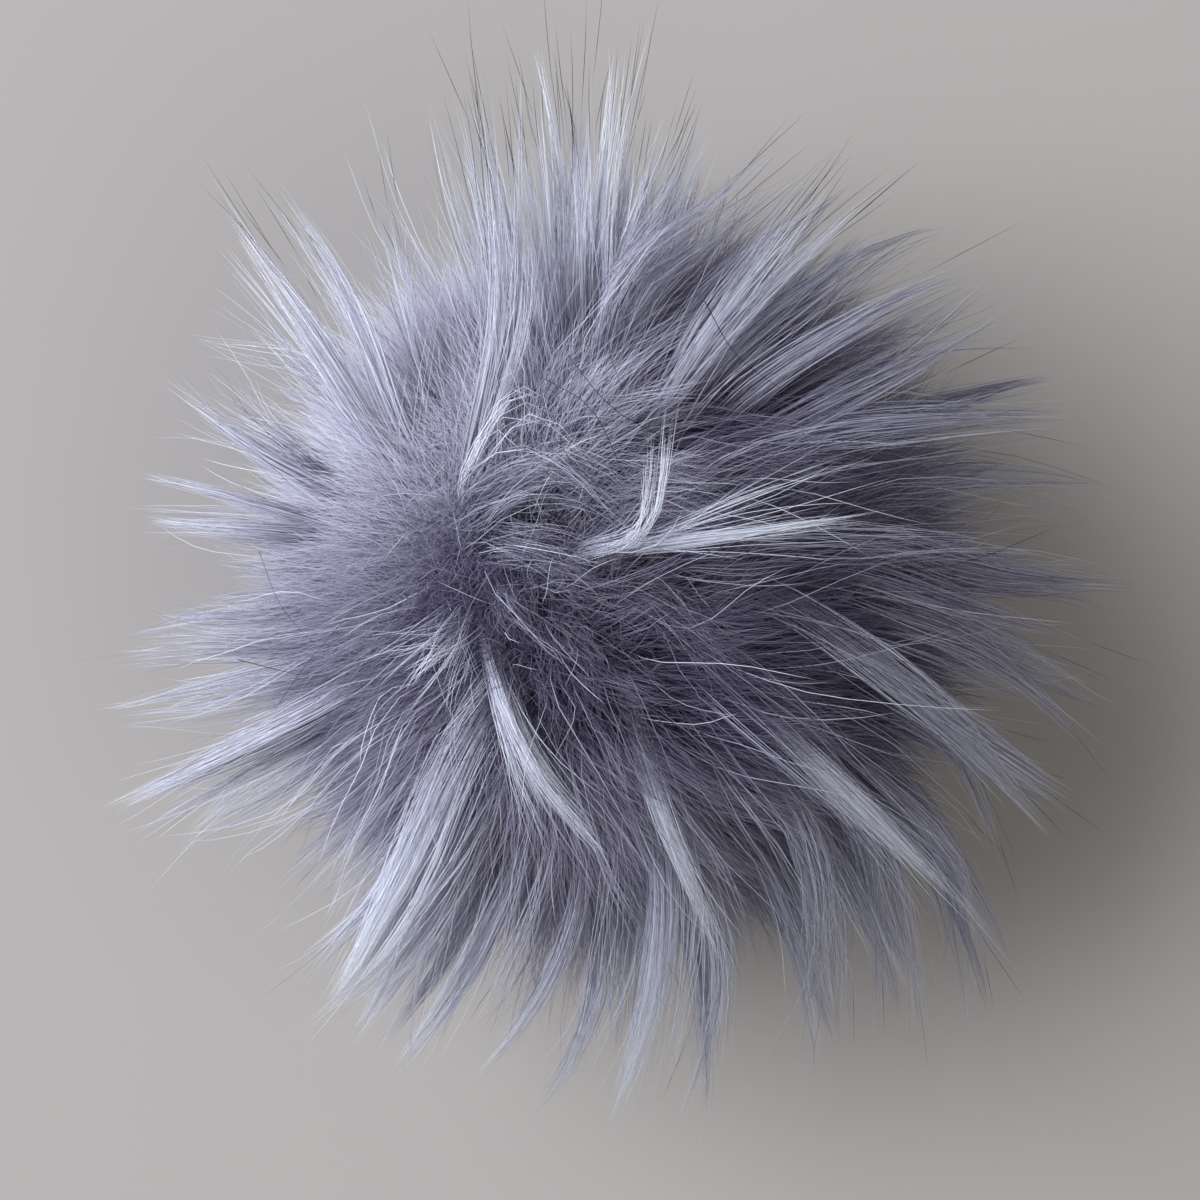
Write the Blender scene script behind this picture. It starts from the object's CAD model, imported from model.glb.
"""A long-pile faux fur pompom, seen from straight above.

A stuffed ball carries a pelt of crimped underfur and plush.  Guard hair follows the
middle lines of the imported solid's locks, and the locks that stand out over the pelt
are set one by one in a table.  A lock is a bundle of finer locks, and each of those a
bundle of hairs, drawn together towards its point.  A few stray hairs leave them.

Metres, +Z up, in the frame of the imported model.
"""

import math

import bmesh
import bpy
import numpy as np
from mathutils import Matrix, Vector


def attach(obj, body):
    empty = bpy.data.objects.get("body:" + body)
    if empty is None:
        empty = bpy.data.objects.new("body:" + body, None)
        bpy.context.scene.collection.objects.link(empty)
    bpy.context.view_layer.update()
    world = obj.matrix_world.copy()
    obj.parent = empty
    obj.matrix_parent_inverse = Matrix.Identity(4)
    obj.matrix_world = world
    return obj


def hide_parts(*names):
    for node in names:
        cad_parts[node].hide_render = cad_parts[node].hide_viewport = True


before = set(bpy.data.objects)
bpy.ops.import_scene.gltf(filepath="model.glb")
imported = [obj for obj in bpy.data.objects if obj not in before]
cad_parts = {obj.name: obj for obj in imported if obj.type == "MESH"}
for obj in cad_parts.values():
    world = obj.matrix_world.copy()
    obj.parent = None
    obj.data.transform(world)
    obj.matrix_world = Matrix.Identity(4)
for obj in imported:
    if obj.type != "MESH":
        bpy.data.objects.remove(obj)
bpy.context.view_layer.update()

MM = 0.001

# ---------------------------------------------------------------- the ball and its pile

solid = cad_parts["fur_pompom"]

# The stuffed ball inside, which the hairs are rooted in.  It is centred over the flat
# spot, at the height where the solid's dense part has its middle.
BALL_CENTRE = np.array((0, 0, 38)) * MM
BALL_RADIUS = 34.5 * MM

# A guide is the middle line of one lock, as this many points from root to tip.
GUIDE_POINTS = 17

# A short lock of the solid has the first number of rings from its tip down to its patch
# of the ball, and a long one the second.
LOCK_RINGS = (5, 7)

# The fur pressed under the ball: the angle below the equator that it starts from, how
# many guides it has, how far they spread along the floor, and how high they lie.
PRESSED_FROM = math.radians(56)
PRESSED_GUIDES = 40
PRESSED_SPREAD = 15 * MM
PRESSED_HEIGHT = 1.2 * MM

# How far evenly spread roots are off their places, as a share of their spacing.
UNEVENNESS = 0.4

SEED = 20
rng = np.random.default_rng(SEED)


def unit(vectors):
    """The vectors at length one."""
    length = np.linalg.norm(vectors, axis=-1, keepdims=True)
    return vectors / np.maximum(length, 1e-12)


def smooth_step(low, high, value):
    """0 below low, 1 above high, and an S between them."""
    share = np.clip((value - low) / (high - low), 0, 1)
    return share * share * (3 - 2 * share)


def random_directions(count):
    """Directions at random, none more likely than another."""
    return unit(rng.normal(size=(count, 3)))


def even_directions(count):
    """Directions spread evenly over the whole ball, each a little off its place."""
    index = np.arange(count) + 0.5
    height = 1 - 2 * index / count
    turn = index * math.pi * (1 + math.sqrt(5))
    flat = np.sqrt(1 - height**2)
    even = np.stack([flat * np.cos(turn), flat * np.sin(turn), height], axis=1)
    spacing = math.sqrt(4 * math.pi / count)
    return unit(even + rng.normal(size=(count, 3)) * spacing * UNEVENNESS)


def smooth_line(points, count):
    """A smooth line through the points, as count points evenly spaced along it."""
    points = np.array(points)
    before = np.vstack([2 * points[0] - points[1], points[:-1]])[:-1]
    start, end = points[:-1], points[1:]
    after = np.vstack([points[2:], 2 * points[-1] - points[-2]])
    share = np.linspace(0, 1, 12, endpoint=False)[:, None, None]
    dense = 0.5 * (
        2 * start
        + (end - before) * share
        + (2 * before - 5 * start + 4 * end - after) * share**2
        + (3 * start - before - 3 * end + after) * share**3
    )
    dense = np.vstack([dense.transpose(1, 0, 2).reshape(-1, 3), points[-1:]])
    steps = np.linalg.norm(np.diff(dense, axis=0), axis=1)
    far = np.concatenate([[0], np.cumsum(steps)])
    places = np.linspace(0, far[-1], count)
    axes = [np.interp(places, far, dense[:, axis]) for axis in range(3)]
    return np.stack(axes, axis=1)


def solid_lock_lines():
    """The middle line of each lock of the solid, from its patch of the ball to its tip.
    It is read from the tip down, one ring of four corners after another."""
    mesh = bmesh.new()
    mesh.from_mesh(solid.data)
    bmesh.ops.remove_doubles(mesh, verts=mesh.verts, dist=0.001 * MM)
    lines = []
    for tip in mesh.verts:
        rings = [[tip]]
        seen = {tip}
        while len(rings) == 1 or len(rings[-1]) == 4:
            ring = []
            for corner in rings[-1]:
                for edge in corner.link_edges:
                    beyond = edge.other_vert(corner)
                    if beyond not in seen:
                        seen.add(beyond)
                        ring.append(beyond)
            rings.append(ring)
        rings.pop()
        if len(rings) in LOCK_RINGS:
            places = [[corner.co for corner in ring] for ring in rings]
            middles = [np.mean(ring, axis=0) for ring in places]
            patch, _, *lock = reversed(middles)
            lines.append([patch, *lock])
    mesh.free()
    return lines


def lock_guides():
    """The guides of all the locks, each from its root in the ball out through the
    solid's lock to its tip."""
    guides = []
    for line in solid_lock_lines():
        root = BALL_CENTRE + unit(line[0] - BALL_CENTRE) * BALL_RADIUS
        guides.append(smooth_line([root, *line], GUIDE_POINTS))
    return np.array(guides)


def pressed_guides():
    """Guides for the fur under the ball, which turns outwards where it meets the
    surface and lies along it."""
    guides = []
    turn = math.pi * (3 - math.sqrt(5))
    for index in range(PRESSED_GUIDES):
        share = (index + 0.5) / PRESSED_GUIDES
        below = math.pi / 2 - math.acos(1 - share * (1 - math.sin(PRESSED_FROM)))
        angle = index * turn
        out = np.array((math.cos(angle), math.sin(angle), 0))
        down = np.array((0, 0, -1))
        root = BALL_CENTRE + BALL_RADIUS * (
            out * math.cos(below) + down * math.sin(below)
        )
        height = root[2] - PRESSED_HEIGHT
        bend = root + down * height * 0.8 + out * PRESSED_SPREAD * 0.25
        end = root + down * height + out * PRESSED_SPREAD
        guides.append(smooth_line([root, bend, end], GUIDE_POINTS))
    return np.array(guides)


def along_lines(lines, which, share):
    """The points at these shares of the length of the chosen lines, and the directions
    in which the lines run there."""
    place = np.clip(share, 0, 1) * (GUIDE_POINTS - 1)
    low = np.minimum(place.astype(int), GUIDE_POINTS - 2)
    part = (place - low)[..., None]
    start, end = lines[which[:, None], low], lines[which[:, None], low + 1]
    return start + (end - start) * part, unit(end - start)


def turned(vectors, start, end):
    """The vectors, turned as start turns to point along end."""
    axis = np.cross(start, end)
    cosine = np.sum(start * end, axis=-1, keepdims=True)
    once = np.cross(axis, vectors)
    return vectors + once + np.cross(axis, once) / np.maximum(1 + cosine, 0.2)


def flattened(vectors, normals):
    """The vectors without their part along the normals."""
    return vectors - np.sum(vectors * normals, axis=-1, keepdims=True) * normals


def line_lengths(lines):
    """How long each line is from root to tip."""
    return np.linalg.norm(np.diff(lines, axis=1), axis=2).sum(axis=1)


# The locks, from the solid, and the pressed fur below them.
guides = np.vstack([lock_guides(), pressed_guides()])
guide_roots = unit(guides[:, 0] - BALL_CENTRE)
guide_length = line_lengths(guides)

# The locks that reach far out are silver to their points, and the others lilac.
tip_reach = np.linalg.norm(guides[:, -1] - BALL_CENTRE, axis=1)
guide_silver = smooth_step(58 * MM, 74 * MM, tip_reach)
guide_silver = np.clip(guide_silver + rng.uniform(-0.2, 0.4, len(guides)), 0, 1)

# The pelt between the locks is brushed away from a parting that runs across the crown,
# left of the top, and lies flatter on the right of it than on the left.  Along the
# parting the pelt is shorter by a share of its length.  Lower down each of its tufts
# takes its course from the locks round it, by how near they are, and hangs a little
# under its own weight.
PARTING = unit(
    smooth_line([(-0.46, 0.52, 0.72), (-0.55, 0.16, 0.82), (-0.36, -0.26, 0.90)], 15)
)
PARTING_WIDTH = math.radians(11)
PARTING_SHORTER = 0.3
STANDS_UP_WITHIN = math.radians(44)
LIES_DOWN_WITHIN = math.radians(24)
LOCKS_ROUND_A_TUFT = 6
LOCK_INFLUENCE = math.radians(9)
DROOP = 0.55

# On the left the pelt is shorter and the guard hair thinner.  On the far side, where a
# fan of standing locks takes its place, the guard hair is thinner too.
SHORT_SIDE = unit(np.array((-0.97, 0.12, 0.1)))
FAN_SIDE = unit(np.array((-0.15, 0.95, 0.3)))
SIDE_SHORTER = 0.22
SIDE_THINNER = 0.65
FAN_THINNER = 0.6

# The hollows of the crown, where the pelt is shorter by this share and the dark roots
# show: where each lies over the ball, in millimetres, how many degrees wide it is seen
# from the ball's centre, and how deep it is, from 0 to 1.  The pelt's surface is this
# far from the centre, in millimetres.
HOLLOW_SHORTER = 0.3
PELT_REACH = 47
HOLLOWS = (
    (-17, 1, 13, 0.95),
    (-4, -8, 8, 0.8),
    (2, -16, 8, 0.8),
    (8, -2, 7, 0.7),
    (-6, 8, 6, 0.7),
)

# The tufts bend at random, in millimetres at their points, and far more round one
# rumpled place.
BEND = 1.6
RUMPLE = 5.5
RUMPLED_PLACE = np.array((-11, 3, 80)) * MM
RUMPLED_WITHIN = 17 * MM

# This share of the tufts is added on the crown, where they part.
CROWN = unit(np.array((-0.30, 0.08, 0.95)))
CROWN_SPREAD = 0.26
CROWN_SHARE = 0.10


def from_parting(roots):
    """The angle between each root and the parting, and the nearest point on it."""
    nearness = roots @ PARTING.T
    angle = np.arccos(np.clip(nearness.max(axis=1), -1, 1))
    return angle, PARTING[nearness.argmax(axis=1)]


def brushed_courses(roots, length):
    """The courses of tufts that are brushed away from the parting, from their roots."""
    angle, nearest = from_parting(roots)
    away = unit(flattened(roots - nearest, roots))
    right = smooth_step(-0.25, 0.35, roots[:, 0])
    flatness = 0.5 + 0.5 * right
    within = STANDS_UP_WITHIN + (LIES_DOWN_WITHIN - STANDS_UP_WITHIN) * right
    lean = (smooth_step(0, within, angle) * flatness)[:, None, None]
    length = length * (1 - PARTING_SHORTER * np.exp(-((angle / PARTING_WIDTH) ** 2)))
    way = np.linspace(0, 1, GUIDE_POINTS)[None, :, None]
    outwards = roots[:, None] * (way - 0.5 * lean * way**2)
    return length[:, None, None] * (outwards + away[:, None] * lean * way**1.5 * 0.9)


def neighbours_courses(roots, length):
    """The courses of tufts that lie as the locks round them do, from their roots."""
    nearness = roots @ guide_roots.T
    nearest = np.argsort(-nearness, axis=1)[:, :LOCKS_ROUND_A_TUFT]
    angle = np.arccos(np.clip(np.take_along_axis(nearness, nearest, axis=1), -1, 1))
    weight = np.exp(-((angle / LOCK_INFLUENCE) ** 2)) + 1e-6
    weight /= weight.sum(axis=1, keepdims=True)
    way = np.linspace(0, 1, GUIDE_POINTS)
    courses = np.zeros((len(roots), GUIDE_POINTS, 3))
    for rank in range(LOCKS_ROUND_A_TUFT):
        lock = nearest[:, rank]
        share = way * (length / guide_length[lock])[:, None]
        points, _ = along_lines(guides, lock, share)
        courses += weight[:, rank, None, None] * (points - guides[lock, :1])
    return courses


def in_hollows(directions):
    """How deep in a hollow of the crown each of these directions points, 0 to 1."""
    deepest = np.zeros(len(directions))
    for x, y, degrees, depth in HOLLOWS:
        height = math.sqrt(PELT_REACH**2 - x**2 - y**2)
        angle = np.arccos(np.clip(directions @ unit(np.array((x, y, height))), -1, 1))
        here = depth * np.exp(-((angle / math.radians(degrees)) ** 2))
        deepest = np.maximum(deepest, here)
    return deepest


def pelt_tufts(count, shortest, longest):
    """The middle lines of tufts spread over the whole ball, and closer on the crown.
    They are brushed high up, and below that they lie as the locks round them do."""
    crown_tufts = int(count * CROWN_SHARE)
    crown = unit(CROWN + rng.normal(size=(crown_tufts, 3)) * CROWN_SPREAD)
    roots = np.vstack([even_directions(count - crown_tufts), crown])
    length = rng.uniform(shortest, longest, count)
    length *= 1 - SIDE_SHORTER * smooth_step(0.62, 0.97, roots @ SHORT_SIDE)
    length *= 1 - HOLLOW_SHORTER * in_hollows(roots)
    brushed = smooth_step(0.1, 0.55, roots[:, 2])[:, None, None]
    courses = brushed * brushed_courses(roots, length)
    courses += (1 - brushed) * neighbours_courses(roots, length)
    lines = BALL_CENTRE + roots[:, None] * BALL_RADIUS + courses
    distance = np.linalg.norm(lines[:, -1] - RUMPLED_PLACE, axis=1)
    rumple = (BEND + RUMPLE * np.exp(-((distance / RUMPLED_WITHIN) ** 2))) * MM
    bend = random_directions(count) * rumple[:, None]
    way = np.linspace(0, 1, GUIDE_POINTS)
    height = roots[:, 2]
    stands = smooth_step(0.1, 0.5, -roots[:, 0])
    droop = smooth_step(-0.6, -0.1, height)
    droop *= 1 - smooth_step(0.55 - 0.25 * stands, 0.9 - 0.2 * stands, height)
    bend[:, 2] -= DROOP * droop * length
    return lines + bend[:, None] * way[None, :, None] ** 1.6


def finer(lines, each, scatter, widest, closing, shortest, bend):
    """The middle lines of the finer locks that make up each of these locks, and the
    lock that each belongs to.  A lock is widest at the share widest of its length, and
    closing is how far it closes up from there to its tip."""
    lock = np.repeat(np.arange(len(lines)), each)
    count = len(lock)
    outwards = unit(lines[:, 0] - BALL_CENTRE)[lock]
    offset = flattened(rng.normal(size=(count, 3)) * scatter, outwards)
    share = np.linspace(0, 1, GUIDE_POINTS) * rng.uniform(shortest, 1, count)[:, None]
    middle, along = along_lines(lines, lock, share)
    width = 0.5 + 0.5 * smooth_step(0, widest, share)
    width *= 1 - closing * smooth_step(widest, 1, share)
    beside = turned(offset[:, None] * width[..., None], outwards[:, None], along)
    bends = random_directions(count) * (bend * rng.uniform(0, 1, (count, 1)))
    return middle + beside + bends[:, None] * share[..., None] ** 2, lock


# The locks that stand out over the pelt, in millimetres: where each comes out of it,
# passes and ends, how high it is at both ends, how far it rises between them, and how
# thick it is.  Then how far its strands part at their points, how many hairs it has,
# and how silver they are.  Above these values a lock counts as parted and as silver.
PARTED_ABOVE = 1.8
SILVER_ABOVE = 0.5
LOCK_COLUMNS = (
    "from_x", "from_y", "over_x", "over_y", "tip_x", "tip_y", "from_z", "tip_z",
    "rise", "thick", "parted", "hairs", "silver",
)  # fmt: skip
STANDING_LOCKS = (
    # over the crown
    (-17, 13, -12, 36, -14, 66, 74, 66, 5, 1.2, 3.0, 110, 1.0),
    (-16, 15, -12, 37, -17, 67, 74, 64, 5, 0.9, 3.0, 50, 0.9),
    (-15, 16, -10, 34, -10, 48, 74, 72, 4, 0.9, 3.0, 40, 0.95),
    (8, 24, 16, 36, 29, 53, 72, 66, 5, 1.0, 3.0, 100, 1.05),
    (10, 25, 21, 38, 36, 52, 72, 64, 5, 0.9, 3.0, 60, 1.0),
    (-2, 5, 6, 8, 8, 25, 82, 93, 3, 0.5, 1.6, 40, 1.25),
    (-3, 4, 5, 7, 6, 19, 82, 92, 3, 0.5, 2.4, 20, 1.15),
    (4, 5, 19, 7, 38, 10, 82, 81, 4, 0.5, 0.4, 64, 1.5),
    (4, 6, 16, 7, 30, 8, 82, 80, 4, 0.6, 2.0, 24, 1.2),
    (8, 7, 20, 12, 37, 18, 82, 80, 4, 0.3, 0.8, 10, 1.3),
    (-14, -7, -9, -21, 1, -35, 74, 70, 8, 1.2, 2.4, 130, 1.25),
    (-14, -9, -10, -23, -4, -35, 74, 68, 7, 1.0, 2.4, 50, 1.05),
    (3, -12, 9, -31, 17, -50, 71, 56, 8, 1.0, 1.0, 130, 1.15),
    (4, -12, 8, -26, 13, -38, 64, 60, 6, 2.2, 1.5, 80, 0.55),
    (20, -15, 33, -27, 48, -42, 67, 54, 5, 0.9, 0.5, 150, 1.25),
    (19, -13, 29, -24, 40, -34, 62, 58, 4, 2.2, 0.8, 90, 0.55),
    (28, -22, 42, -35, 57, -53, 62, 46, 4, 0.6, 0.8, 20, 0.9),
    (-17, 13, -10, 24, -2, 20, 80, 88, 5, 0.5, 1.5, 12, 1.1),
    (-16, 13, -8, 22, 2, 13, 80, 86, 5, 0.5, 1.5, 8, 1.0),
    # tufts of the rumpled crown
    (-15, 11, -5, 15, 6, 7, 80, 84, 4, 2.6, 3.0, 180, 0.4),
    (-12, 6, -5, 5, 3, 2, 80, 82, 3, 2.2, 3.0, 120, 0.3),
    (-7, 1, 0, 0, 7, -3, 78, 80, 3, 1.8, 3.0, 90, 0.2),
    (-12, 0, -9, -4, -5, -9, 78, 78, 3, 1.7, 3.0, 70, 0.15),
    (-5, -4, -1, -9, 0, -15, 78, 76, 2, 1.7, 3.0, 70, 0.15),
    (-18, -3, -22, -8, -27, -13, 74, 76, 6, 2.2, 6.0, 28, 1.0),
    (-16, -6, -20, -10, -25, -16, 74, 75, 5, 2.0, 6.0, 30, 1.0),
    (-17, -5, -22, -7, -29, -8, 74, 76, 5, 1.8, 6.0, 20, 1.0),
    (-13, -9, -17, -14, -22, -20, 74, 72, 4, 1.6, 5.0, 20, 1.0),
    (5, -1, 12, -6, 20, -12, 78, 74, 3, 2.0, 3.0, 100, 0.4),
    # far side, a fan of fine ones and a soft one
    (-10, 40, -12, 50, -16, 66, 66, 62, 4, 0.52, 1.5, 27, 0.95),
    (-7, 38, -9, 50, -12, 63, 64, 59, 4, 0.52, 1.5, 22, 0.85),
    (-6, 41, -7, 51, -9, 65, 66, 59, 4, 0.52, 1.5, 27, 1.0),
    (-5, 38, -5, 53, -8, 72, 60, 54, 4, 0.45, 1.0, 19, 1.05),
    (-3, 40, -3, 50, -4, 60, 65, 60, 4, 0.59, 1.5, 27, 0.9),
    (-2, 42, -2, 51, -3, 64, 66, 60, 4, 0.52, 1.5, 27, 1.05),
    (-1, 39, 0, 53, 2, 72, 62, 55, 4, 0.59, 1.0, 37, 1.1),
    (1, 41, 1, 50, 4, 74, 66, 56, 4, 0.45, 1.0, 22, 1.1),
    (1, 37, 3, 50, 5, 61, 58, 55, 4, 0.59, 1.5, 27, 0.95),
    (2, 41, 5, 50, 8, 62, 63, 58, 4, 0.52, 1.5, 22, 0.95),
    (3, 42, 8, 49, 13, 61, 66, 57, 4, 0.59, 1.5, 22, 0.75),
    (3, 39, 12, 46, 24, 58, 76, 56, 4, 1.9, 1.5, 90, 0.6),
    (5, 36, 14, 45, 25, 55, 70, 52, 3, 1.5, 1.5, 60, 0.5),
    (14, 37, 24, 45, 34, 54, 69, 51, 3, 1.4, 1.5, 60, 0.5),
    # far left
    (-27, 17, -37, 33, -50, 51, 63, 52, 4, 1.0, 1.0, 76, 0.9),
    (-29, 19, -38, 31, -49, 45, 61, 50, 4, 0.8, 1.5, 24, 0.75),
    (-25, 20, -32, 37, -43, 54, 65, 52, 4, 1.0, 1.0, 76, 0.9),
    (-22, 27, -26, 42, -29, 52, 61, 54, 3, 1.0, 2.0, 40, 0.6),
    (-31, 23, -38, 33, -44, 41, 57, 52, 3, 1.2, 2.0, 40, 0.6),
    # left
    (-36, 7, -50, 8, -62, 9, 51, 48, 2, 0.9, 1.0, 80, 0.66),
    (-34, 8, -47, 12, -62, 16, 53, 50, 3, 0.9, 1.0, 80, 0.66),
    (-32, 11, -45, 18, -58, 27, 55, 50, 3, 1.1, 1.5, 90, 0.61),
    (-34, 14, -44, 20, -53, 25, 53, 50, 3, 0.9, 2.0, 40, 0.66),
    (-32, 13, -43, 21, -52, 31, 53, 48, 3, 0.7, 1.5, 40, 0.41),
    (-37, 3, -46, 3, -53, 4, 49, 44, 2, 0.8, 1.5, 20, 0.57),
    (-37, -1, -46, -2, -54, -1, 48, 42, 2, 0.8, 1.5, 24, 0.57),
    (-36, -4, -49, -5, -58, -4, 47, 38, 2, 1.0, 1.5, 44, 0.66),
    (-36, -8, -53, -8, -66, -9, 45, 36, 2, 1.0, 1.5, 60, 0.61),
    (-34, -10, -48, -12, -60, -13, 45, 36, 2, 0.9, 1.5, 36, 0.66),
    (-33, -14, -48, -22, -70, -31, 55, 44, 3, 1.2, 0.6, 180, 0.9),
    (-33, -17, -46, -24, -64, -34, 49, 42, 3, 0.8, 1.5, 34, 0.66),
    (-32, -12, -46, -18, -58, -23, 51, 42, 3, 0.7, 1.5, 20, 0.66),
    # near left
    (-18, -20, -27, -39, -36, -56, 70, 44, 4, 2.2, 1.5, 300, 1.2),
    (-18, -20, -28, -38, -43, -53, 68, 40, 4, 1.3, 2.0, 60, 0.9),
    (-16, -26, -27, -46, -40, -59, 64, 30, 6, 1.8, 1.6, 130, 0.95),
    (-14, -30, -25, -48, -35, -63, 60, 30, 5, 1.8, 1.6, 120, 0.95),
    (-33, -27, -40, -30, -44, -31, 46, 42, 2, 1.2, 3.0, 40, 0.7),
    # near
    (8, -39, 6, -55, 0, -74, 61, 30, 3, 1.2, 0.5, 170, 1.15),
    (16, -47, 15, -59, 11, -71, 54, 28, 2, 1.0, 0.5, 90, 1.0),
    (-4, -44, -10, -56, -18, -67, 55, 30, 2, 1.0, 0.5, 80, 1.0),
    (-1, -52, -4, -62, -10, -72, 48, 28, 2, 0.8, 0.5, 60, 0.95),
    (-13, -41, -20, -54, -29, -67, 57, 30, 2, 1.2, 0.5, 110, 1.0),
    # near right
    (26, -32, 28, -47, 26, -62, 60, 30, 4, 1.7, 0.5, 90, 0.95),
    (28, -32, 31, -47, 32, -63, 60, 28, 4, 1.3, 0.5, 60, 0.85),
    (33, -30, 36, -44, 38, -60, 58, 28, 4, 1.4, 0.5, 60, 0.9),
    (36, -30, 41, -45, 44, -62, 56, 28, 4, 1.6, 0.5, 70, 0.85),
    (43, -35, 47, -47, 50, -61, 52, 26, 3, 1.2, 0.5, 50, 0.7),
    (44, -34, 48, -45, 51, -56, 52, 28, 3, 1.2, 0.5, 50, 0.8),
    # right
    (21, 26, 34, 34, 50, 42, 69, 62, 4, 1.8, 1.0, 90, 0.75),
    (24, 21, 40, 29, 55, 37, 69, 60, 3, 1.6, 1.0, 70, 0.65),
    (17, 30, 29, 40, 40, 46, 69, 60, 3, 1.7, 1.0, 80, 0.7),
    (25, 20, 47, 22, 66, 22, 69, 54, 5, 1.8, 1.0, 90, 0.65),
    (36, 6, 51, 2, 73, 0, 65, 44, 4, 1.9, 1.0, 80, 0.5),
    (33, 2, 47, -3, 64, -7, 66, 50, 4, 1.5, 1.0, 70, 0.6),
    (25, -3, 43, -16, 60, -33, 71, 48, 5, 1.7, 1.0, 100, 0.9),
    (31, -6, 49, -19, 68, -31, 67, 44, 4, 1.0, 1.0, 40, 1.0),
    (40, -4, 53, -10, 67, -23, 61, 40, 3, 1.4, 1.0, 70, 0.7),
    (42, -2, 54, -8, 68, -15, 59, 38, 3, 1.4, 1.0, 70, 0.7),
    (44, -18, 50, -27, 55, -40, 55, 36, 2, 1.3, 1.0, 60, 0.7),
)

# How far back a lock's root lies from where the lock comes out of the pelt, as a share
# of its way on from there to where it passes.
BACK_TO_ROOT = 0.35


def standing_locks():
    """The middle line of each standing lock, from its root on the ball, and the table's
    columns by name."""
    table = dict(zip(LOCK_COLUMNS, np.array(STANDING_LOCKS, dtype=float).T))
    lines = []
    for row in STANDING_LOCKS:
        from_x, from_y, over_x, over_y, tip_x, tip_y, from_z, tip_z, rise, *_ = row
        start = np.array((from_x, from_y, from_z)) * MM
        over = np.array((over_x, over_y, (from_z + tip_z) / 2 + rise)) * MM
        tip = np.array((tip_x, tip_y, tip_z)) * MM
        beneath = start - (over - start) * BACK_TO_ROOT - BALL_CENTRE
        root = BALL_CENTRE + unit(beneath) * BALL_RADIUS
        lines.append(smooth_line([root, start, over, tip], GUIDE_POINTS))
    return np.array(lines), table


# ------------------------------------------------------------------------ growing hairs

# Hairs are dyed in this many tones by this many shares of silver, and a last column of
# the dye card is for the hairs that end in black.
TONES = 6
SILVERS = 8
DYE_COLUMNS = TONES * SILVERS + 1
BLACK_TIPPED = TONES * SILVERS
CARD_MARGIN = 0.02

# How much a hair's shading follows its own roundness, and the pelt's it lies in, or the
# pelt's beneath a standing lock.
ROUND_SHADING = 0.75
PELT_SHADING = 0.6
STANDING_SHADING = 0.25

# A hair is a flat strip that faces away from the ball and a little upwards, each one a
# little off that.  It narrows late along its way, and ends this wide.
FACES_UP = np.array((0, 0, 0.35))
FACES_ASIDE = 0.35
TAPER = 1.6
FINE_TIP = 0.03 * MM
COARSE_TIP = 0.04 * MM

# A hair's crimp is a wave and a smaller one on top of it, this many times as quick.
CRIMP_WAVES = (1.0, 2.3)


def dye_column(tone, silver):
    """The dye card's column for a tone and a share of silver, both from 0 to 1."""
    tone = np.clip(tone * TONES, 0, TONES - 1).astype(int)
    silver = np.clip(silver * SILVERS, 0, SILVERS - 1).astype(int)
    return silver * TONES + tone


def grow(
    bundles, bundle, points, share, scatter, opening, closing, crimp, waves, stray
):
    """The lines of hairs in these bundles, as points from root to tip.

    share is each hair's share of its bundle's length, and scatter how far from the
    bundle's middle line hairs are rooted.  opening is how much wider the bundle gets as
    it leaves the ball, and closing how far it closes up again by its tip.  crimp is how
    far a hair waves, waves how often, and stray how far it has left its bundle by its
    tip.
    """
    count = len(bundle)
    outwards = unit(bundles[:, 0] - BALL_CENTRE)[bundle]
    offset = flattened(rng.normal(size=(count, 3)) * scatter, outwards)
    shares = np.linspace(0, 1, points) * share[:, None]
    middle, along = along_lines(bundles, bundle, shares)
    way = shares[..., None]
    width = (1 + opening * way) * (1 - closing * smooth_step(0.1, 0.95, way))
    line = middle + turned(offset[:, None] * width, outwards[:, None], along)
    for times in CRIMP_WAVES:
        phase = rng.uniform(0, 2 * math.pi, (count, 1))
        swing = np.sin(phase + 2 * math.pi * waves * times * shares) - np.sin(phase)
        swing *= smooth_step(0, 0.5, shares) * crimp / times
        line += random_directions(count)[:, None] * swing[..., None]
    line += random_directions(count)[:, None] * stray[:, None, None] * way**2
    floor = rng.uniform(0.2, 1.6, (count, 1)) * MM
    line[..., 2] = np.maximum(line[..., 2], floor)
    return line


def new_object(name, data):
    """An object with this data, in the scene."""
    added = bpy.data.objects.new(name, data)
    bpy.context.scene.collection.objects.link(added)
    return added


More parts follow.
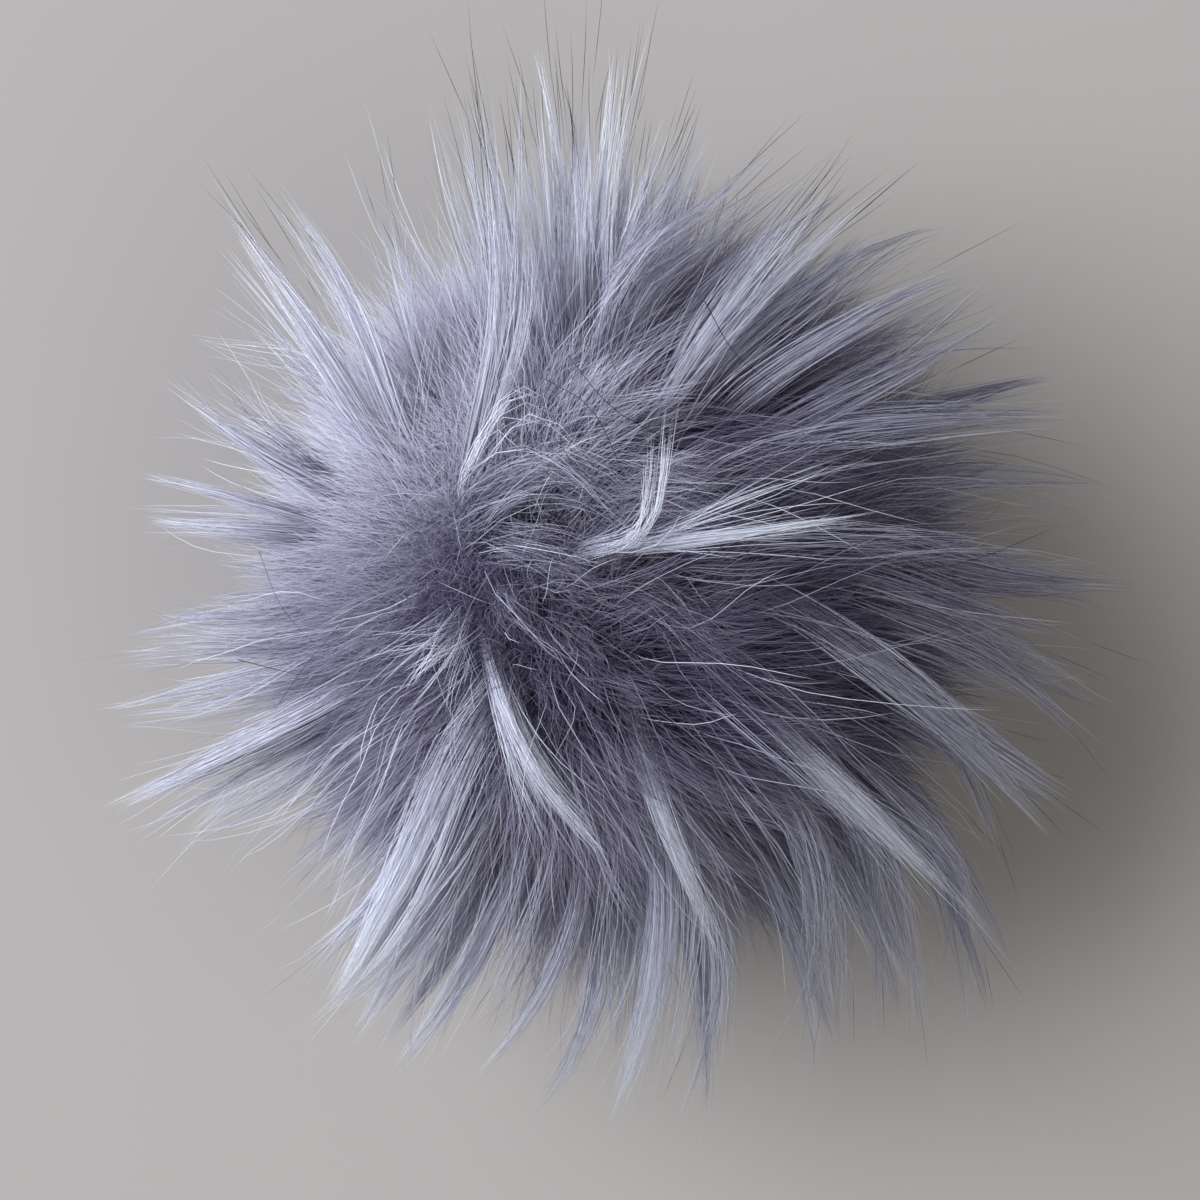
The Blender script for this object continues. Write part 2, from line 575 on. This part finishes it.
def hair_mesh(name, lines, width, tip_width, column, material, pelt=PELT_SHADING):
    """A piece made of flat hairs: each line becomes a narrow strip that faces away from
    the ball and ends in a point.  It is shaded as if it were round, and partly as the
    pelt it lies in."""
    count, points, _ = lines.shape
    along = unit(np.gradient(lines, axis=1))
    away = unit(lines - BALL_CENTRE) + random_directions(count)[:, None] * FACES_ASIDE
    away += FACES_UP
    side = unit(np.cross(along, away))
    facing = np.cross(side, along)
    way = np.linspace(0, 1, points)
    half = 0.5 * (width[:, None] + (tip_width - width[:, None]) * way**TAPER)
    left = lines - side * half[..., None]
    right = lines + side * half[..., None]
    per_hair = 2 * points - 1
    verts = np.empty((count, per_hair, 3))
    verts[:, 0:-1:2] = left[:, :-1]
    verts[:, 1::2] = right[:, :-1]
    verts[:, -1] = lines[:, -1]
    shaded = facing + unit(lines - BALL_CENTRE) * pelt
    normals = np.empty_like(verts)
    normals[:, 0:-1:2] = unit(shaded - side * ROUND_SHADING)[:, :-1]
    normals[:, 1::2] = unit(shaded + side * ROUND_SHADING)[:, :-1]
    normals[:, -1] = unit(shaded)[:, -1]
    ways = np.empty((count, per_hair))
    ways[:, 0:-1:2] = way[:-1]
    ways[:, 1::2] = way[:-1]
    ways[:, -1] = 1

    first = 2 * np.arange(points - 2)
    strip = np.stack([first, first + 1, first + 3, first + 2], axis=1).ravel()
    cap = np.array((per_hair - 3, per_hair - 2, per_hair - 1))
    hair_loops = np.concatenate([strip, cap])
    starts = 4 * np.arange(points - 1)
    loops = (hair_loops[None] + per_hair * np.arange(count)[:, None]).ravel()
    loop_starts = (starts[None] + len(hair_loops) * np.arange(count)[:, None]).ravel()

    mesh = bpy.data.meshes.new(name)
    mesh.vertices.add(count * per_hair)
    mesh.vertices.foreach_set("co", verts.astype(np.float32).ravel())
    mesh.loops.add(len(loops))
    mesh.loops.foreach_set("vertex_index", loops.astype(np.int32))
    mesh.polygons.add(len(loop_starts))
    mesh.polygons.foreach_set("loop_start", loop_starts.astype(np.int32))
    mesh.update(calc_edges=True)
    mesh.shade_smooth()
    mesh.normals_split_custom_set_from_vertices(normals.reshape(-1, 3))

    columns = np.repeat(column, per_hair)
    silver = np.where(column == BLACK_TIPPED, 1, column // TONES / (SILVERS - 1))
    tone = np.where(column == BLACK_TIPPED, 0.5, column % TONES / (TONES - 1))
    black = np.where(column == BLACK_TIPPED, 1.0, 0.0)
    for label, values in (
        ("hair_way", ways.ravel()),
        ("hair_silver", np.repeat(silver, per_hair)),
        ("hair_tone", np.repeat(tone, per_hair)),
        ("hair_black", np.repeat(black, per_hair)),
    ):
        attribute = mesh.attributes.new(label, "FLOAT", "POINT")
        attribute.data.foreach_set("value", values.astype(np.float32))
    dye_card = mesh.uv_layers.new(name="OFBake")
    across = (columns + 0.5) / DYE_COLUMNS
    up = CARD_MARGIN + (1 - 2 * CARD_MARGIN) * ways.ravel()
    uv = np.stack([across, up], axis=1)[loops]
    dye_card.uv.foreach_set("vector", uv.astype(np.float32).ravel())

    mesh.materials.append(material)
    piece = new_object(name, mesh)
    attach(piece, "root")
    return piece


# ---------------------------------------------------------------------------- materials


def linear(hex_colour):
    """An sRGB hex colour as a linear RGBA tuple."""
    levels = [int(hex_colour[i : i + 2], 16) / 255 for i in (1, 3, 5)]
    return (
        *(c / 12.92 if c <= 0.04045 else ((c + 0.055) / 1.055) ** 2.4 for c in levels),
        1.0,
    )


def add_node(tree, kind, links=(), **settings):
    """Adds a node, sets what is named, and links sockets into it: links holds pairs of
    this node's input and the output that feeds it.  A setting that names an input by
    its number sets that input's value."""
    node = tree.nodes.new(kind)
    for key, value in settings.items():
        if key.startswith("input_"):
            node.inputs[int(key[6:])].default_value = value
        else:
            setattr(node, key, value)
    for socket, source in links:
        tree.links.new(source, node.inputs[socket])
    return node


def new_material(name, **finish):
    """A new material, its node tree and its shader.  The finish is set on the shader's
    own sockets, and an underscore stands for a space in a socket's name."""
    material = bpy.data.materials.new(name)
    material.use_nodes = True
    shader = material.node_tree.nodes["Principled BSDF"]
    for socket, value in finish.items():
        shader.inputs[socket.replace("_", " ")].default_value = value
    return material, material.node_tree, shader


def colour_ramp(tree, source, stops):
    """A colour ramp over the source, from pairs of place and hex colour."""
    ramp = add_node(tree, "ShaderNodeValToRGB", [(0, source)])
    elements = ramp.color_ramp.elements
    elements[0].position, elements[0].color = stops[0][0], linear(stops[0][1])
    elements[1].position, elements[1].color = stops[-1][0], linear(stops[-1][1])
    for place, colour in stops[1:-1]:
        elements.new(place).color = linear(colour)
    return ramp.outputs["Color"]


MODACRYLIC_IOR = 1.52


def modacrylic_pile(name, lilac_stops, silver_stops, roughness, gloss):
    """Modacrylic fur fibre, spun-dyed lilac grey and lightened towards its points: a
    soft silky sheen along each hair, violet shade between the hairs, and pale tips."""
    material, tree, shader = new_material(
        name, Roughness=roughness, IOR=MODACRYLIC_IOR, Specular_IOR_Level=gloss
    )

    def reading(label):
        node = add_node(tree, "ShaderNodeAttribute", attribute_name=label)
        return node.outputs["Fac"]

    way = reading("hair_way")
    lilac = colour_ramp(tree, way, lilac_stops)
    silver = colour_ramp(tree, way, silver_stops)
    dyed = add_node(
        tree,
        "ShaderNodeMix",
        [("Factor", reading("hair_silver")), (6, lilac), (7, silver)],
        data_type="RGBA",
    ).outputs[2]
    # Light that reaches a deep hair has been through other hairs, so a dark tone is
    # more violet than a light one.
    shade = add_node(
        tree,
        "ShaderNodeMapRange",
        [(6, reading("hair_tone"))],
        data_type="FLOAT_VECTOR",
        input_9=(0.2, 0.177, 0.253),
        input_10=(1.04, 1.04, 1.04),
    ).outputs[1]
    toned = add_node(
        tree,
        "ShaderNodeVectorMath",
        [(0, dyed), (1, shade)],
        operation="MULTIPLY",
    ).outputs[0]
    # A black-tipped hair turns black over its last third.
    black_part = add_node(
        tree,
        "ShaderNodeMapRange",
        [(0, way)],
        input_1=0.66,
        input_2=0.8,
    ).outputs[0]
    black = add_node(
        tree,
        "ShaderNodeMath",
        [(0, reading("hair_black")), (1, black_part)],
        operation="MULTIPLY",
    ).outputs[0]
    colour = add_node(
        tree,
        "ShaderNodeMix",
        [("Factor", black), (6, toned)],
        data_type="RGBA",
        input_7=linear("#1d1a1d"),
    ).outputs[2]
    tree.links.new(colour, shader.inputs["Base Color"])
    return material


# Each kind of fibre, with its colours from root to tip where it is lilac and where it
# is silver.  Crimped underfur is dull, and the coarse straight guard hair glossiest.
underfur_dye = modacrylic_pile(
    "modacrylic_underfur",
    [(0.0, "#675982"), (0.35, "#8f89a3"), (0.75, "#b0b0c2"), (1.0, "#c5c6d5")],
    [(0.0, "#726a8c"), (0.3, "#a8a5bd"), (0.7, "#cacbdc"), (1.0, "#dadfec")],
    roughness=0.6,
    gloss=0.2,
)
pile_dye = modacrylic_pile(
    "modacrylic_pile",
    [(0.0, "#5d4f76"), (0.35, "#867e9b"), (0.75, "#adadbf"), (1.0, "#c5c6d5")],
    [(0.0, "#6b6384"), (0.3, "#a6a3bc"), (0.65, "#cbcedf"), (1.0, "#dfe5f0")],
    roughness=0.52,
    gloss=0.3,
)
guard_hair_dye = modacrylic_pile(
    "modacrylic_guard_hair",
    [(0.0, "#544b6c"), (0.36, "#7b7491"), (0.64, "#9c99b1"), (1.0, "#b8b8cc")],
    [(0.0, "#757089"), (0.25, "#adadc0"), (0.55, "#ced4e2"), (1.0, "#e8eef8")],
    roughness=0.38,
    gloss=0.5,
)


# Spun-dyed black modacrylic, soft black with a narrow highlight along the hair.
black_hair_dye, _, _ = new_material(
    "modacrylic_black_hair",
    Base_Color=linear("#232026"),
    Roughness=0.4,
    IOR=MODACRYLIC_IOR,
)


def fabric_backing():
    """Knitted polyester backing of the fur, covered in short dark fibre: a dull dark
    ground between the roots, speckled as fibres catch the light.  The noise runs over
    the ball's 69 mm, so that a speckle is as wide as a fibre, about 0.08 mm."""
    material, tree, shader = new_material("knitted_backing", Roughness=0.9)
    speckle = add_node(tree, "ShaderNodeTexNoise", input_2=900.0)
    colour = colour_ramp(
        tree, speckle.outputs[0], [(0.35, "#3f3a48"), (0.7, "#5c5668")]
    )
    tree.links.new(colour, shader.inputs["Base Color"])
    return material


# ------------------------------------------------------------------------------- pieces

# How high the stuffing's lumps are, in millimetres.
LUMP_HEIGHT = 0.6


def stuffed_ball():
    """The stuffed ball under the pile, a little lumpy."""
    mesh = bmesh.new()
    bmesh.ops.create_icosphere(mesh, subdivisions=4, radius=1)
    for vert in mesh.verts:
        direction = vert.co.normalized()
        lump = math.sin(direction.x * 9 + 1) * math.sin(direction.y * 8) * 0.7
        lump += math.sin(direction.z * 11 + direction.x * 5)
        radius = BALL_RADIUS + lump * LUMP_HEIGHT * MM
        vert.co = Vector(BALL_CENTRE) + direction * radius
    data = bpy.data.meshes.new("stuffed_ball")
    mesh.to_mesh(data)
    mesh.free()
    data.shade_smooth()
    data.materials.append(fabric_backing())
    piece = new_object("stuffed_ball", data)
    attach(piece, "root")
    return piece


def quarters(lines):
    """Which quarter of the pompom each hair leaves from, seen from above."""
    root = lines[:, 0]
    return (root[:, 0] > 0).astype(int) + 2 * (root[:, 1] > 0).astype(int)


QUARTERS = ("near_left", "near_right", "far_left", "far_right")


def add_quarters(name, lines, width, column, material):
    """One piece of hair for each quarter of the pompom."""
    place = quarters(lines)
    for index, label in enumerate(QUARTERS):
        here = place == index
        hair_mesh(
            f"{name}_{label}",
            lines[here],
            width[here],
            FINE_TIP,
            column[here],
            material,
        )


def frizz(count, neat, loose, share):
    """How far hairs leave their tufts: this share of them goes as far as loose, and the
    others keep within neat, both in millimetres."""
    frizzy = rng.random(count) < share
    far = rng.uniform(neat, loose, count)
    close = rng.uniform(0, neat, count)
    return np.where(frizzy, far, close) * MM


def roots_show(lines):
    """How much the pelt's dark roots show: 0 on the left, where it stands up, rising to
    1 on the right, where it is brushed flat, less on the near side, and most in the
    hollows of the crown."""
    root = lines[:, 0] - BALL_CENTRE
    flat = smooth_step(-9 * MM, 6 * MM, 0.95 * root[:, 0] - 0.25 * root[:, 1])
    flat *= 0.8 + 0.2 * smooth_step(0.1, 0.7, root[:, 2] / BALL_RADIUS)
    near = smooth_step(0.1, 0.75, (-root[:, 1] - 0.35 * root[:, 0]) / BALL_RADIUS)
    flat *= 1 - 0.95 * near
    return np.maximum(flat, 1.25 * in_hollows(unit(root)))


def pale_points(lines):
    """How much lighter the pelt is where it is longer and its pale points lie closer:
    on the far left, and low down on the near side.  On the near left it is duller."""
    root = lines[:, 0]
    left = smooth_step(6 * MM, -6 * MM, root[:, 0])
    near = smooth_step(0.3, 0.85, -root[:, 1] / BALL_RADIUS)
    near *= smooth_step(18 * MM, 2 * MM, root[:, 0])
    return 0.03 * np.clip(root[:, 1] / MM, -7, 14) * left + 0.2 * near


# Modacrylic fur fibre is about 0.05 mm thick, and is drawn at about twice that, so that
# single hairs show and all of them together cover the ball.

# The tone of each kind of hair, from 0 to 1, and how much darker it is where the pelt's
# roots show.
UNDERFUR_TONE, UNDERFUR_DARKENS = 0.45, 0.5
PILE_TONE, PILE_DARKENS = 0.46, 0.36
GUARD_HAIR_TONE, GUARD_HAIR_DARKENS = 0.58, 0.3


def underfur(count):
    """The dense crimped fur close to the ball."""
    tufts = pelt_tufts(1900, 10.5 * MM, 15 * MM)
    underneath = tufts[:, 0, 2] < BALL_CENTRE[2] - 5 * MM
    chance = np.where(underneath, 0.5, 1.0)
    bundle = rng.choice(len(tufts), count, p=chance / chance.sum())
    lines = grow(
        tufts,
        bundle,
        points=5,
        share=rng.uniform(0.6, 1.0, count),
        scatter=1.7 * MM,
        opening=0.8,
        closing=0.1,
        crimp=0.7 * MM,
        waves=1.0,
        stray=frizz(count, 3, 8, 0.4),
    )
    tone = UNDERFUR_TONE + pale_points(lines) - UNDERFUR_DARKENS * roots_show(lines)
    tone += rng.uniform(-0.15, 0.15, count)
    column = dye_column(tone, rng.uniform(0, 0.9, count) ** 1.5)
    width = rng.uniform(0.10, 0.16, count) * MM
    add_quarters("underfur", lines, width, column, underfur_dye)


def pile(count):
    """The hair between the locks, longer than the underfur.  It is plush on the left,
    and gathered in larger tufts that darken between them on the right."""
    plush = pelt_tufts(1500, 11.5 * MM, 17 * MM)
    plush = plush[plush[:, 0, 0] < 0]
    gathered = pelt_tufts(620, 16.5 * MM, 25 * MM)
    gathered = gathered[gathered[:, 0, 0] > -4 * MM]
    tufts = np.vstack([plush, gathered])
    in_gathered = np.arange(len(tufts)) >= len(plush)
    tuft_tone = np.where(in_gathered, 0.25, 0.08) * rng.uniform(-1, 1, len(tufts))
    tuft_silver = rng.uniform(0, 0.7, len(tufts))
    tuft_silver += 0.2 * smooth_step(8 * MM, 28 * MM, -tufts[:, 0, 0])
    chance = np.where(in_gathered, 2.3, 1.0)
    bundle = np.sort(rng.choice(len(tufts), count, p=chance / chance.sum()))
    wide = in_gathered[bundle, None]
    lines = grow(
        tufts,
        bundle,
        points=6,
        share=1 - 0.45 * rng.random(count) ** 1.3,
        scatter=np.where(wide, 2.2, 2.9) * MM,
        opening=0.9,
        closing=np.where(wide, 0.72, 0.1)[:, None],
        crimp=0.8 * MM,
        waves=1.0,
        stray=frizz(count, 3, 10, np.where(wide[:, 0], 0.3, 0.5)),
    )
    shade = roots_show(lines)
    tone = PILE_TONE + pale_points(lines) - PILE_DARKENS * shade + tuft_tone[bundle]
    tone += rng.uniform(-1, 1, count) * (0.1 + 0.22 * shade)
    silver = tuft_silver[bundle] * (1 - 0.6 * shade)
    silver += rng.uniform(-0.25, 0.25, count)
    width = rng.uniform(0.07, 0.115, count) * MM
    add_quarters("pile", lines, width, dye_column(tone, silver), pile_dye)


def guard_hair(count):
    """The long hair of the lower locks, silver towards its points.  The higher up a
    lock is, the fewer hairs it has, because the standing locks take over there."""
    lines, lock = finer(
        guides, 4, 1.9 * MM, widest=0.4, closing=0.85, shortest=0.75, bend=2.0 * MM
    )
    full = np.where(guide_length > 34 * MM, 1.0, 0.35) * (0.35 + guide_silver)
    full *= 1 - 0.75 * smooth_step(-0.35, 0.0, guide_roots[:, 2])
    full *= 1 - 0.9 * smooth_step(0.15, 0.45, guide_roots[:, 2])
    upper = smooth_step(-0.55, -0.15, guide_roots[:, 2])
    full *= 1 - SIDE_THINNER * upper * smooth_step(0.2, 0.8, guide_roots @ SHORT_SIDE)
    full *= 1 - FAN_THINNER * upper * smooth_step(0.35, 0.85, guide_roots @ FAN_SIDE)
    chance = (full * rng.uniform(0.15, 1.85, len(guides)))[lock]
    bundle = np.sort(rng.choice(len(lines), count, p=chance / chance.sum()))
    loose = rng.random(count) < 0.03
    hairs = grow(
        lines,
        bundle,
        points=8,
        share=np.clip(1 - np.abs(rng.normal(0, 0.25, count)), 0.4, 1.0),
        scatter=1.0 * MM,
        opening=0.3,
        closing=0.92,
        crimp=0.35 * MM,
        waves=1.0,
        stray=np.where(loose, rng.uniform(3, 9, count), rng.uniform(0, 1, count)) * MM,
    )
    fine_tone = rng.uniform(-0.15, 0.15, len(lines))
    tone = GUARD_HAIR_TONE - GUARD_HAIR_DARKENS * roots_show(hairs)
    tone += fine_tone[bundle] + rng.uniform(-0.2, 0.2, count)
    silver = guide_silver[lock[bundle]] + rng.uniform(-0.25, 0.25, count)
    width = rng.uniform(0.08, 0.13, count) * MM
    add_quarters("guard_hair", hairs, width, dye_column(tone, silver), guard_hair_dye)


def standing_hair():
    """The hairs of the standing locks: coarse and glossy, and fewer and fewer towards
    the point of the lock.  A parted lock keeps its strands apart, and each is tight.  A
    lilac lock is frizzy, with a bright hair here and there.  The more silver a lock is,
    the lighter it is, and its hairs differ in tone."""
    middles, table = standing_locks()
    strands = 8
    parted = table["parted"] > PARTED_ABOVE
    lines, lock = finer(
        middles,
        strands,
        np.repeat(table["thick"] * 0.72 * MM, strands)[:, None],
        widest=0.45,
        closing=np.repeat(np.where(parted, 0.25, 0.85), strands)[:, None],
        shortest=0.8,
        bend=np.repeat((0.6 + 1.3 * table["parted"]) * MM, strands)[:, None],
    )
    hairs_each = np.ceil(table["hairs"] / strands).astype(int)[lock]
    bundle = np.repeat(np.arange(len(lines)), hairs_each)
    count = len(bundle)
    of_lock = {label: column[lock[bundle]] for label, column in table.items()}
    lilac = of_lock["silver"] < SILVER_ABOVE
    tight = np.where(parted[lock[bundle]] & ~lilac, 0.24, 0.5)
    loose = rng.random(count) < np.where(lilac, 0.5, 0.12)
    hairs = grow(
        lines,
        bundle,
        points=9,
        share=1 - 0.5 * rng.random(count) ** 1.6,
        scatter=np.clip(of_lock["thick"] * tight, 0.25, 1.0)[:, None] * MM,
        opening=0.3,
        closing=0.9,
        crimp=np.where(lilac, 0.9, 0.25)[:, None] * MM,
        waves=np.where(lilac, 1.5, 0.8)[:, None],
        stray=np.where(loose, rng.uniform(2, 9, count), rng.uniform(0, 1, count)) * MM,
    )
    bright = lilac & (rng.random(count) < 0.2)
    silver = of_lock["silver"] + 0.5 * bright
    tone = 0.42 * silver - 0.18 * roots_show(hairs) - 0.05
    tone += 0.75 * rng.random(count) ** np.where(lilac, 2.0, 1.0) + 0.2 * bright
    tone += 0.24 * smooth_step(1.0, 1.15, silver)
    silver = silver + rng.uniform(-0.35, 0.2, count)
    width = rng.uniform(0.08, 0.13, count) * MM
    hair_mesh(
        "standing_locks",
        hairs,
        width,
        FINE_TIP,
        dye_column(tone, silver),
        guard_hair_dye,
        STANDING_SHADING,
    )


# How far the black-tipped hairs run on past the points of the silver standing locks.
# Each lock whose point lies beyond this many millimetres on the far side has the first
# number of them, and each other one on the right the second.
RUNS_ON = 6 * MM
FAR_SIDE_FROM = 48
BLACK_TIPPED_EACH = (5, 1)


def black_tipped_hair():
    """The longest hairs, stiff and straight, whose last stretch is black."""
    middles, table = standing_locks()
    onward = unit(middles[:, -1] - middles[:, -4])
    longer = [
        smooth_line([*line[::4], line[-1] + step * RUNS_ON], GUIDE_POINTS)
        for line, step in zip(middles, onward)
    ]
    places = [table["tip_y"] > FAR_SIDE_FROM, table["tip_x"] > 0]
    each = np.select(places, BLACK_TIPPED_EACH, 0)
    each *= table["silver"] > SILVER_ABOVE
    bundle = np.repeat(np.arange(len(longer)), each)
    count = len(bundle)
    hairs = grow(
        np.array(longer),
        bundle,
        points=9,
        share=rng.uniform(0.84, 1.0, count),
        scatter=1.4 * MM,
        opening=0.3,
        closing=0.2,
        crimp=0.5 * MM,
        waves=0.5,
        stray=rng.uniform(1, 6, count) * MM,
    )
    column = np.full(count, BLACK_TIPPED)
    width = rng.uniform(0.11, 0.15, count) * MM
    hair_mesh("black_tipped_hair", hairs, width, COARSE_TIP, column, guard_hair_dye)


def stray_hair(count):
    """Single long hairs that have left the pelt, one here and one there, some of them
    black-tipped."""
    tufts = pelt_tufts(count, 24 * MM, 38 * MM)
    tufts = tufts[tufts[:, 0, 2] > BALL_CENTRE[2]]
    count = len(tufts)
    hairs = grow(
        tufts,
        np.arange(count),
        points=9,
        share=rng.uniform(0.7, 1.0, count),
        scatter=1.0 * MM,
        opening=0,
        closing=0,
        crimp=1.6 * MM,
        waves=0.6,
        stray=rng.uniform(3, 12, count) * MM,
    )
    silver = rng.uniform(0.5, 1.2, count)
    column = dye_column(rng.uniform(0.4, 1, count), silver)
    column[rng.random(count) < 0.16] = BLACK_TIPPED
    width = rng.uniform(0.08, 0.13, count) * MM
    hair_mesh("stray_hair", hairs, width, COARSE_TIP, column, guard_hair_dye)


# Single black hairs that have come loose and lie over the left and the crown, in
# millimetres: where each starts, passes and ends, and how high it lies.
LOOSE_BLACK_HAIRS = (
    (-44, 5, -41, -2, -36, -8, 58),
    (-47, -9, -38, -11, -31, -11, 56),
    (-31, -2, -37, -9, -42, -16, 64),
    (-19, -14, -24, -20, -31, -29, 72),
    (-27, -9, -28, -14, -27, -21, 72),
    (-7, 26, -1, 22, 3, 14, 88),
    (4, 38, 1, 31, 3, 24, 86),
    (-4, 29, 2, 22, 12, 17, 84),
    (13, 36, 17, 29, 24, 24, 80),
    (30, 3, 44, 3, 58, 8, 72),
)
LOOSE_HAIR_WIDTH = 0.12 * MM
LOOSE_HAIR_TIP = 0.05 * MM
LOOSE_HAIR_RISE = 3


def loose_black_hair():
    """The hairs of the table above, each a slight curve that rises in its middle."""
    lines = []
    for from_x, from_y, over_x, over_y, to_x, to_y, height in LOOSE_BLACK_HAIRS:
        points = (
            (from_x, from_y, height),
            (over_x, over_y, height + LOOSE_HAIR_RISE),
            (to_x, to_y, height),
        )
        lines.append(smooth_line(np.array(points) * MM, 9))
    count = len(lines)
    hair_mesh(
        "loose_black_hair",
        np.array(lines),
        np.full(count, LOOSE_HAIR_WIDTH),
        LOOSE_HAIR_TIP,
        np.full(count, BLACK_TIPPED),
        black_hair_dye,
    )


# As many hairs as keep the whole under 900,000 triangles.
ball = stuffed_ball()
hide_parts("fur_pompom")
underfur(38_000)
pile(41_000)
guard_hair(11_500)
standing_hair()
black_tipped_hair()
stray_hair(700)
loose_black_hair()

# ------------------------------------------------------------- floor, light and camera

# The floor is a board at the height of the flat spot, under a matt paint: plain and
# pale, with hardly any gloss.
HALF_FLOOR = 0.8
corners = [(-1, -1), (1, -1), (1, 1), (-1, 1)]
floor_mesh = bpy.data.meshes.new("floor")
floor_mesh.from_pydata(
    [(x * HALF_FLOOR, y * HALF_FLOOR, 0) for x, y in corners], [], [(0, 1, 2, 3)]
)
floor_paint, _, _ = new_material(
    "matt_painted_board", Base_Color=linear("#a5a29e"), Roughness=0.85
)
floor_mesh.materials.append(floor_paint)
floor = new_object("floor", floor_mesh)


def soft_light(name, place, size, power, hex_colour):
    """A square softbox aimed at the middle of the ball."""
    lamp = bpy.data.lights.new(name, "AREA")
    lamp.size = size
    lamp.energy = power
    lamp.color = linear(hex_colour)[:3]
    box = new_object(name, lamp)
    box.location = place
    aim = Vector(BALL_CENTRE) - Vector(place)
    box.rotation_euler = aim.to_track_quat("-Z", "Y").to_euler()


# Daylight from a window on the left, and a weak lamp opposite it.
soft_light("window_light", (-1.40, 0.45, 1.25), 1.9, 72.0, "#f6f7ff")
soft_light("fill_light", (0.70, -0.50, 1.30), 1.2, 6.0, "#fff7ee")

world = bpy.data.worlds.new("studio")
world.use_nodes = True
background = world.node_tree.nodes["Background"]
background.inputs["Color"].default_value = linear("#c9ccd4")
background.inputs["Strength"].default_value = 0.28
bpy.context.scene.world = world
bpy.context.scene.view_settings.view_transform = "Standard"

# The camera hangs straight over the pompom.  Its view is this wide at the height of the
# view's plane.
VIEW_WIDTH = 158 * MM
VIEW_PLANE = 45 * MM
CAMERA_HEIGHT = 0.70
SENSOR_WIDTH = 36
camera_data = bpy.data.cameras.new("camera")
camera_data.sensor_width = SENSOR_WIDTH
camera_data.lens = SENSOR_WIDTH * (CAMERA_HEIGHT - VIEW_PLANE) / VIEW_WIDTH
camera_data.clip_start = 0.01
camera = new_object("camera", camera_data)
camera.location = (0, -1.3 * MM, CAMERA_HEIGHT)
bpy.context.scene.camera = camera
